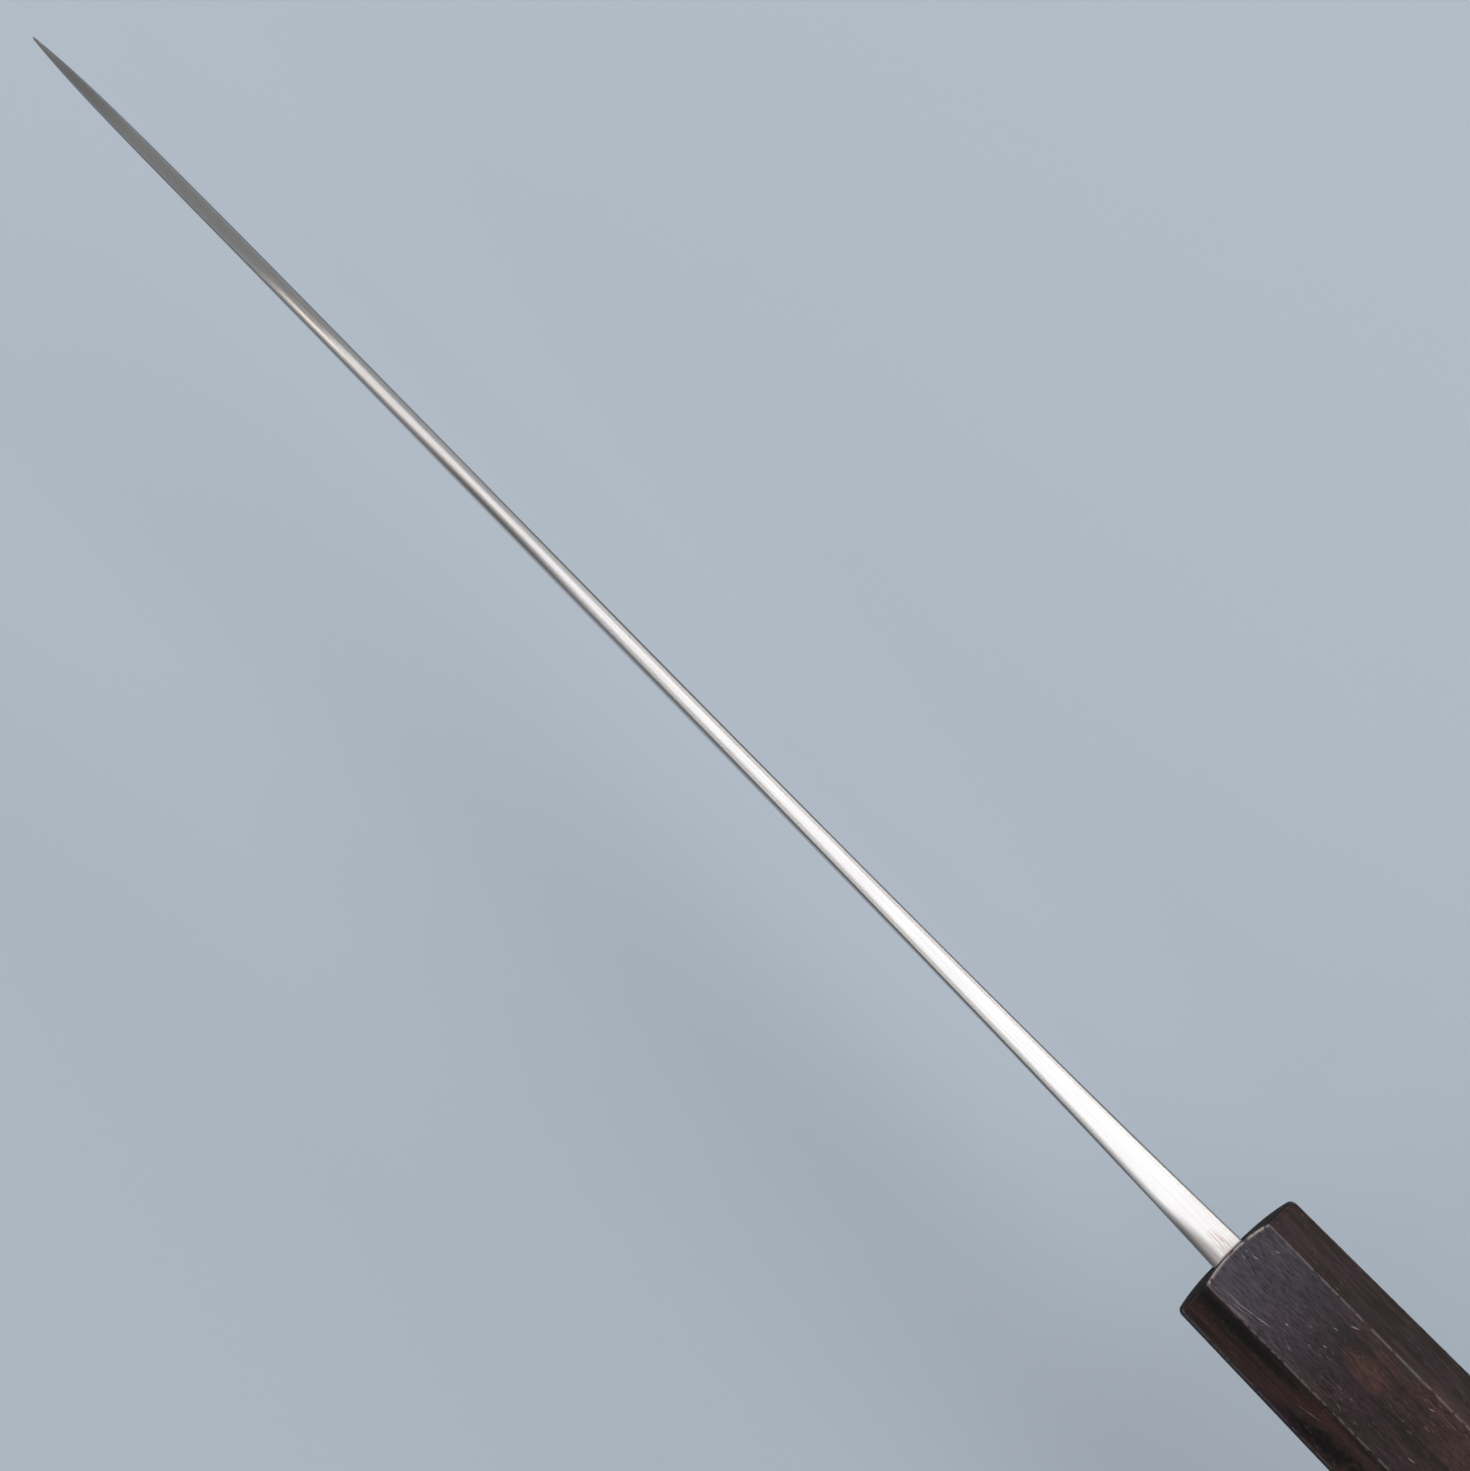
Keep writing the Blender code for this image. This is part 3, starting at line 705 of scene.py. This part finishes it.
    rough = addNode(tree, "MapRange", {}, {
        "Value": cloud, **noiseRange,
        "To Min": look["roughness"] - look["roughnessSwing"],
        "To Max": look["roughness"] + look["roughnessSwing"]})
    rough = addNode(tree, "Mix", {}, {0: marks["bevelMark"], 2: rough, 3: look["bevelRoughness"]})
    bump = addNode(tree, "Bump", {}, {
        "Strength": 0.25, "Distance": look["scratchDepth"] * mm, "Height": noise["scratch"]})
    tangent = addNode(tree, "Tangent", {"direction_type": "UV_MAP", "uv_map": "surface"})
    shader = addNode(tree, "BsdfPrincipled", {}, {
        "Base Color": color, "Metallic": 1.0, "Roughness": rough, "Anisotropic": 1.0,
        "Tangent": tangent, "Normal": bump})
    addNode(tree, "OutputMaterial", {}, {"Surface": shader})
    return material


def oiledHardwood():
    # Dense dark hardwood, shaped on belts and oiled: near black with brown and plum streaks and open
    # pores filled with pale dust, drier at the front, its edges rubbed pale by use.
    look = {
        "dark": "1c1411",
        "haze": "504f5a",
        "worn": "bcaea9",
        "end": "0f0b0a",
        "hazeReach": 29.0,          # the dry look fades over this length
        "hazeShare": 0.5,
        "grainSwing": 0.4,          # how much grain lightens and darkens
        "chamferGrain": 0.4,        # share of the grain on the chamfers
        "chamferPores": 0.75,       # and of the pores
        "arrisShare": 0.18,         # rubbed pale on the long edges
        "rimShare": 0.58,           # and on the rims of the ends
        "scuffShare": 0.44,
        "roughness": 0.42,
        "roughnessSwing": 0.07,
        "specular": 0.13,
        "relief": 0.05,
        "fibreRelief": 0.35,
        "mottleRelief": 0.5,
    }
    patterns = {                    # mm along the grain, mm across, detail, shift of the noise
        "band": (62.0, 3.3, 3.0, 11.0),
        "patch": (17.0, 6.5, 2.0, 140.0),
        "fibre": (6.0, 0.5, 3.0, 260.0),
        "grain": (1.7, 0.32, 4.0, 290.0),
        "mottle": (1.2, 0.8, 3.0, 330.0),
        "nick": (1.3, 1.3, 2.0, 420.0),
        "crowd": (11.0, 3.5, 2.0, 520.0),
        "dust": (1.6, 0.17, 1.5, 37.0),
        "pit": (1.6, 0.21, 1.5, 91.0),
    }
    tints = {                       # where the pattern begins and is full, strength, colour
        "band": (0.42, 0.62, 0.8, "3d2a27"),
        "patch": (0.45, 0.65, 0.8, "2e1f25"),
        "fibre": (0.45, 0.75, 0.35, "4b3834"),
    }
    pores = {                       # the same for open pores and for those filled with dust
        "pit": (0.6, 0.7, 0.8, "0c0a0a"),
        "dust": (0.65, 0.77, 0.6, "80756f"),
    }
    soaks = {"gripMark": 0.6, "endMark": 0.85}      # share of the ends' colour in each place
    roughnessAt = {"arrisWear": 0.3, "gripMark": 0.9, "endMark": 0.8}
    stainsAndShade = {                      # middle, half sizes, turn about Z in degrees, colour, strength
        "warm": ((-27.4, -1.5, 12.0), (7.5, 3.0, 6.0), 0.0, "5c3c2e", 0.4),
        "red": ((-27.0, 7.7, 12.0), (10.0, 1.7, 3.0), 9.0, "42251f", 0.5),
        "black": ((-30.5, 10.4, 10.0), (14.0, 3.0, 4.0), 9.0, "090706", 0.95),
        # the shade entry is painted shade on the left chamfer under its arris, the side turned from the
        # lamps
        "shade": ((-11.0, 7.7, 12.4), (20.0, 1.9, 3.0), 1.0, "0a0807", 0.8),
        "blue": ((-31.5, -6.0, 13.0), (5.0, 1.5, 2.0), 0.0, "22262b", 0.8),
    }
    scuffs = {                      # both ends, width and strength
        "chamfer": ((-19.4, 9.9), (-33.2, 7.6), 0.26, 0.45),
        "corner a": ((-1.2, 5.9), (-13.3, 3.95), 0.26, 0.8),
        "corner b": ((-1.9, 6.35), (-13.0, 5.85), 0.22, 0.7),
        "corner c": ((-1.7, 5.5), (-7.5, 4.65), 0.24, 0.7),
        "corner d": ((-2.6, 5.35), (-8.8, 4.55), 0.2, 0.6),
        "corner e": ((-8.6, 4.75), (-13.4, 3.9), 0.3, 1.0),
        "corner f": ((-3.5, 5.9), (-10.5, 5.1), 0.22, 0.6),
        "front a": ((-2.4, -1.35), (-4.4, -1.75), 0.3, 1.0),
        "front b": ((-1.2, -0.45), (-3.0, -0.25), 0.26, 0.7),
        "front c": ((-1.4, -1.2), (-2.2, -1.4), 0.26, 0.8),
        "front d": ((-4.2, -4.2), (-6.2, -4.8), 0.28, 0.7),
        "middle a": ((-13.2, 2.2), (-14.4, 2.0), 0.5, 0.8),
        "middle b": ((-19.4, 0.45), (-20.8, 0.2), 0.34, 0.9),
        "back a": ((-20.0, -4.3), (-22.4, -5.3), 0.3, 1.0),
        "back b": ((-18.4, -2.4), (-20.2, -2.85), 0.26, 0.8),
        "back c": ((-36.9, -4.0), (-38.9, -4.8), 0.34, 1.0),
        "back d": ((-39.7, 3.25), (-42.5, 2.8), 0.3, 0.8),
    }
    material, tree = newMaterial("oiled_dark_hardwood")
    place = addNode(tree, "TexCoord", out="Object")
    marks = {name: addNode(tree, "Attribute", {"attribute_name": name}, out="Fac")
             for name in ("arrisWear", "rimWear", "flatMark", "gripMark", "endMark")}
    noise = {}
    for name, (length, width, detail, shift) in patterns.items():
        stretched = addNode(tree, "Mapping", {}, {
            "Vector": place, "Location": (shift, 0.0, 0.0),
            "Scale": (1 / (length * mm), 1 / (width * mm), 1 / (width * mm))})
        noise[name] = addNode(tree, "TexNoise", {}, {
            "Vector": stretched, "Scale": 1.0, "Detail": detail})

    # base: dark wood with brown bands, plum patches and finer streaks
    color = hexColor(look["dark"])
    for name, (low, high, most, tint) in tints.items():
        share = addNode(tree, "MapRange", asSoftStep, {
            "Value": noise[name], "From Min": low, "From Max": high, "To Max": most})
        color = addNode(tree, "Mix", asColor, {0: share, 6: color, 7: hexColor(tint)}, out=2)

    for middle, half, turn, tint, strength in stainsAndShade.values():
        local = addNode(tree, "Mapping", asPlaced, {
            "Vector": place, "Location": Vector(middle) * mm,
            "Rotation": (0.0, 0.0, np.radians(turn)), "Scale": Vector(half) * mm})
        near = addNode(tree, "TexGradient", asSphere, {"Vector": local}, out="Fac")
        uneven = addNode(tree, "Math", asProduct, {0: near, 1: noise["mottle"]})
        amount = addNode(tree, "MapRange", asSoftStep, {
            "Value": uneven, "From Min": 0.03, "From Max": 0.4, "To Max": strength})
        color = addNode(tree, "Mix", asColor, {0: amount, 6: color, 7: hexColor(tint)}, out=2)

    # the front has dried: a greyer tone that fades along the handle
    along = addNode(tree, "SeparateXYZ", {}, {0: place}, out="X")
    dry = addNode(tree, "MapRange", asSoftStep, {
        "Value": along, "From Min": -look["hazeReach"] * mm, "From Max": 0.0, "To Max": look["hazeShare"]})
    dry = addNode(tree, "Math", asProduct, {0: dry, 1: marks["flatMark"]})
    color = addNode(tree, "Mix", asColor, {0: dry, 6: color, 7: hexColor(look["haze"])}, out=2)
    # fingers have darkened the side flats, and end grain has drunk more oil: both are nearly black
    for name, most in soaks.items():
        soaked = addNode(tree, "Math", asProduct, {0: marks[name], 1: most})
        color = addNode(tree, "Mix", asColor, {0: soaked, 6: color, 7: hexColor(look["end"])}, out=2)

    # fine grain lightens and darkens the wood, and pores are short dashes where a stretched noise runs
    # high: some hold pale dust, others are open and dark. They crowd in places.
    fine = addNode(tree, "MapRange", {}, {
        "Value": noise["grain"], **noiseRange, "To Min": -look["grainSwing"], "To Max": look["grainSwing"]})
    weight = addNode(tree, "MapRange", {}, {"Value": marks["flatMark"], "To Min": look["chamferGrain"]})
    fine = addNode(tree, "Math", {"operation": "MULTIPLY_ADD"}, {0: fine, 1: weight, 2: 1.0})
    color = addNode(tree, "VectorMath", {"operation": "SCALE"}, {0: color, "Scale": fine})
    crowd = addNode(tree, "MapRange", asSoftStep, {
        "Value": noise["crowd"], "From Min": 0.4, "From Max": 0.6, "To Min": 0.2})
    weight = addNode(tree, "MapRange", {}, {"Value": marks["flatMark"], "To Min": look["chamferPores"]})
    crowd = addNode(tree, "Math", asProduct, {0: crowd, 1: weight})
    depth = {}
    for name, (low, high, most, tint) in pores.items():
        pore = addNode(tree, "MapRange", asSoftStep, {
            "Value": noise[name], "From Min": low, "From Max": high, "To Max": most})
        depth[name] = addNode(tree, "Math", asProduct, {0: pore, 1: crowd})
        color = addNode(tree, "Mix", asColor, {0: depth[name], 6: color, 7: hexColor(tint)}, out=2)

    # scuffs on the upper flats: thin ellipsoids between their ends, broken up by the mottle
    flatHalf = handle["frontWidth"] / 2 - handle["frontChamfer"]
    scuff = 0.0
    for first, last, width, strength in scuffs.values():
        first, last = np.array(first), np.array(last)
        x, y = (first + last) / 2
        run = last - first
        z = handle["frontHeight"] / 2 - max(abs(y) - flatHalf, 0.0)
        local = addNode(tree, "Mapping", asPlaced, {
            "Vector": place, "Location": (x * mm, y * mm, z * mm),
            "Rotation": (0.0, 0.0, np.arctan2(run[1], run[0])),
            "Scale": (np.linalg.norm(run) / 2 * mm, width / 2 * mm, 2.0 * mm)})
        near = addNode(tree, "TexGradient", {"gradient_type": "QUADRATIC_SPHERE"},
                       {"Vector": local}, out="Fac")
        near = addNode(tree, "Math", asProduct, {0: near, 1: strength})
        scuff = addNode(tree, "Math", asLarger, {0: near, 1: scuff})
    broken = addNode(tree, "Math", asProduct, {0: scuff, 1: noise["mottle"]})
    scuffed = addNode(tree, "MapRange", asSoftStep, {
        "Value": broken, "From Min": 0.02, "From Max": 0.28, "To Max": look["scuffShare"]})

    # edges rubbed pale: long edges faintly, the rims of the ends more, both broken by nicks
    unbroken = addNode(tree, "MapRange", asSoftStep, {
        "Value": noise["nick"], "From Min": 0.36, "From Max": 0.5})
    rubbed = addNode(tree, "Math", asProduct, {0: marks["arrisWear"], 1: look["arrisShare"]})
    rimmed = addNode(tree, "Math", asProduct, {0: marks["rimWear"], 1: look["rimShare"]})
    edges = addNode(tree, "Math", asLarger, {0: rubbed, 1: rimmed})
    edges = addNode(tree, "Math", asProduct, {0: edges, 1: unbroken})
    pale = addNode(tree, "Math", asLarger, {0: edges, 1: scuffed})
    color = addNode(tree, "Mix", asColor, {0: pale, 6: color, 7: hexColor(look["worn"])}, out=2)

    rough = addNode(tree, "MapRange", {}, {
        "Value": noise["mottle"], **noiseRange,
        "To Min": look["roughness"] - look["roughnessSwing"],
        "To Max": look["roughness"] + look["roughnessSwing"]})
    for name, other in roughnessAt.items():
        rough = addNode(tree, "Mix", {}, {0: marks[name], 2: rough, 3: other})
    relief = addNode(tree, "Math", asProduct, {0: noise["fibre"], 1: look["fibreRelief"]})
    relief = addNode(tree, "Math", {"operation": "SUBTRACT"}, {0: relief, 1: depth["pit"]})
    relief = addNode(tree, "Math", {"operation": "MULTIPLY_ADD"},
                     {0: noise["mottle"], 1: look["mottleRelief"], 2: relief})
    bump = addNode(tree, "Bump", {}, {
        "Strength": 0.6, "Distance": look["relief"] * mm, "Height": relief})
    shader = addNode(tree, "BsdfPrincipled", {}, {
        "Base Color": color, "Roughness": rough, "IOR": 1.5, "Specular IOR Level": look["specular"],
        "Normal": bump})
    addNode(tree, "OutputMaterial", {}, {"Surface": shader})
    return material


def sealingCompound():
    # Black compound, spread by hand and set: dull and faintly lumpy.
    look = {"dark": "171413", "light": "2b2624", "roughness": 0.55, "lumpSize": 0.6, "lumpHeight": 0.05}
    material, tree = newMaterial("black_sealing_compound")
    place = addNode(tree, "TexCoord", out="Object")
    lump = addNode(tree, "TexNoise", {}, {
        "Vector": place, "Scale": 1 / (look["lumpSize"] * mm), "Detail": 3.0})
    color = addNode(tree, "Mix", asColor,
                    {0: lump, 6: hexColor(look["dark"]), 7: hexColor(look["light"])}, out=2)
    bump = addNode(tree, "Bump", {}, {
        "Strength": 0.5, "Distance": look["lumpHeight"] * mm, "Height": lump})
    shader = addNode(tree, "BsdfPrincipled", {}, {
        "Base Color": color, "Roughness": look["roughness"], "Normal": bump})
    addNode(tree, "OutputMaterial", {}, {"Surface": shader})
    return material


def curedResin():
    # Clear casting resin, poured round the tang: amber, glossy, with small bubbles.
    look = {"amber": "8f7440", "bubble": "b79a5e", "roughness": 0.25, "bubbleGap": 1.4, "bubbleDepth": 0.06}
    material, tree = newMaterial("cured_amber_resin")
    place = addNode(tree, "TexCoord", out="Object")
    bubble = addNode(tree, "TexVoronoi", {}, {
        "Vector": place, "Scale": 1 / (look["bubbleGap"] * mm)}, out="Distance")
    ring = addNode(tree, "MapRange", {}, {"Value": bubble, "From Min": 0.12, "From Max": 0.2})
    color = addNode(tree, "Mix", asColor,
                    {0: ring, 6: hexColor(look["bubble"]), 7: hexColor(look["amber"])}, out=2)
    bump = addNode(tree, "Bump", {}, {
        "Strength": 0.4, "Distance": look["bubbleDepth"] * mm, "Height": ring})
    shader = addNode(tree, "BsdfPrincipled", {}, {
        "Base Color": color, "Roughness": look["roughness"], "Normal": bump})
    addNode(tree, "OutputMaterial", {}, {"Surface": shader})
    return material


makeBlade(satinSteel())
makeHandle(oiledHardwood())
makeSeal(sealingCompound())
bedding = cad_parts["tang_bedding"]
bedding.data.materials.clear()
bedding.data.materials.append(curedResin())


# camera: far above the spine with a long lens, rolled so that the blade runs to the upper left

view = {
    "aim": (106.55, -0.71, 10.0),   # the place in the middle of the picture
    "stand": (12.0, 58.0, 1808.0),
    "pixelsPerMm": 6.69,            # at the spine
    "pictureWidth": 1470,
    "alongBlade": (-0.6998, 0.7143),    # +X in the picture, right and up
    "sensor": 36.0,
    "nearest": 50.0,                # nothing nearer or farther than these is drawn
    "farthest": 60000.0,
}


def makeCamera():
    # lens = sensor width * pixels per mm * distance / picture width
    aim, stand = Vector(view["aim"]) * mm, Vector(view["stand"]) * mm
    back = (stand - aim).normalized()
    across, rise = view["alongBlade"]
    bladeWay = (Vector((1, 0, 0)) - back * back.x).normalized()
    sideWay = back.cross(bladeWay)
    right = bladeWay * across - sideWay * rise
    up = bladeWay * rise + sideWay * across
    camera = bpy.data.objects.new("camera", bpy.data.cameras.new("camera"))
    camera.matrix_world = Matrix((right, up, back)).transposed().to_4x4()
    camera.location = stand
    camera.data.sensor_fit = "HORIZONTAL"
    camera.data.sensor_width = view["sensor"]
    distance = (stand - aim).length / mm
    camera.data.lens = view["sensor"] * view["pixelsPerMm"] * distance / view["pictureWidth"]
    camera.data.clip_start = view["nearest"] * mm
    camera.data.clip_end = view["farthest"] * mm
    bpy.context.scene.collection.objects.link(camera)
    bpy.context.scene.camera = camera


# floor, lamps and surroundings

studio = {
    "floorColor": "b2bdc7",
    "floorDepth": 62.0,             # under the origin
    "floorSize": 12000.0,
    "worldColor": "949496",
    "worldStrength": 1.0,
    "lamps": {                      # middle, size, the place it faces, spin in degrees, brightness, colour
        "overhead_scrim": ((-457.0, -690.0, 2300.0), (1685.0, 2600.0),
                           (-457.0, -690.0, 0.0), -6.2, 1.7, "fafbff"),
        "overhead_fill": ((-457.0, 1510.0, 2300.0), (1600.0, 1850.0),
                          (-457.0, 1510.0, 0.0), -6.2, 0.85, "fafbff"),
        "overhead_strip": ((660.0, 2250.0, 2300.0), (350.0, 2400.0),
                           (660.0, 2250.0, 0.0), -6.2, 2.2, "fff6ec"),
        "right_panel": ((-1445.0, -2500.0, 1000.0), (3510.0, 2100.0),
                        (-1445.0, 0.0, 1000.0), 0.0, 1.9, "fffdfa"),
        "left_panel": ((-1400.0, 2500.0, 1500.0), (3400.0, 1500.0),
                       (-1400.0, 0.0, 1500.0), 0.0, 0.55, "fffdfa"),
        "window": ((2170.0, -750.0, 930.0), (900.0, 900.0),
                   (70.0, 0.0, 0.0), 0.0, 11.0, "fffefb"),
    },
}


def makeStudio():
    # a wide paper floor, lamps whose power is brightness * pi * area, and a grey world all round
    size = studio["floorSize"] * mm / 2
    corners = [(-size, -size), (size, -size), (size, size), (-size, size)]
    mesh = bpy.data.meshes.new("floor")
    mesh.from_pydata([(x, y, -studio["floorDepth"] * mm) for x, y in corners], [], [(0, 1, 2, 3)])
    material, tree = newMaterial("matte_paper_floor")
    shader = addNode(tree, "BsdfDiffuse", {}, {"Color": hexColor(studio["floorColor"])})
    addNode(tree, "OutputMaterial", {}, {"Surface": shader})
    mesh.materials.append(material)
    floor = bpy.data.objects.new("floor", mesh)
    bpy.context.scene.collection.objects.link(floor)

    for name, (place, (wide, long), facing, spin, brightness, color) in studio["lamps"].items():
        data = bpy.data.lights.new(name, "AREA")
        data.shape = "RECTANGLE"
        data.size, data.size_y = wide * mm, long * mm
        data.energy = brightness * np.pi * wide * long * mm ** 2
        data.color = hexColor(color)[:3]
        lamp = bpy.data.objects.new(name, data)
        away = Vector(facing) - Vector(place)
        turn = away.to_track_quat("-Z", "Y").to_matrix() @ Matrix.Rotation(np.radians(spin), 3, "Z")
        lamp.matrix_world = turn.to_4x4()
        lamp.location = Vector(place) * mm
        lamp.visible_camera = False
        bpy.context.scene.collection.objects.link(lamp)

    world = bpy.data.worlds.new("studio")
    world.use_nodes = True
    tree = world.node_tree
    tree.nodes.clear()
    seen = addNode(tree, "LightPath", out="Is Camera Ray")
    color = addNode(tree, "Mix", asColor,
                    {0: seen, 6: hexColor(studio["worldColor"]), 7: hexColor(studio["floorColor"])}, out=2)
    strength = addNode(tree, "Mix", {}, {0: seen, 2: studio["worldStrength"], 3: 1.0})
    shader = addNode(tree, "Background", {}, {"Color": color, "Strength": strength})
    addNode(tree, "OutputWorld", {}, {"Surface": shader})
    bpy.context.scene.world = world
    bpy.context.scene.view_settings.view_transform = "Standard"


makeCamera()
makeStudio()
print("camera, floor and lamps placed")
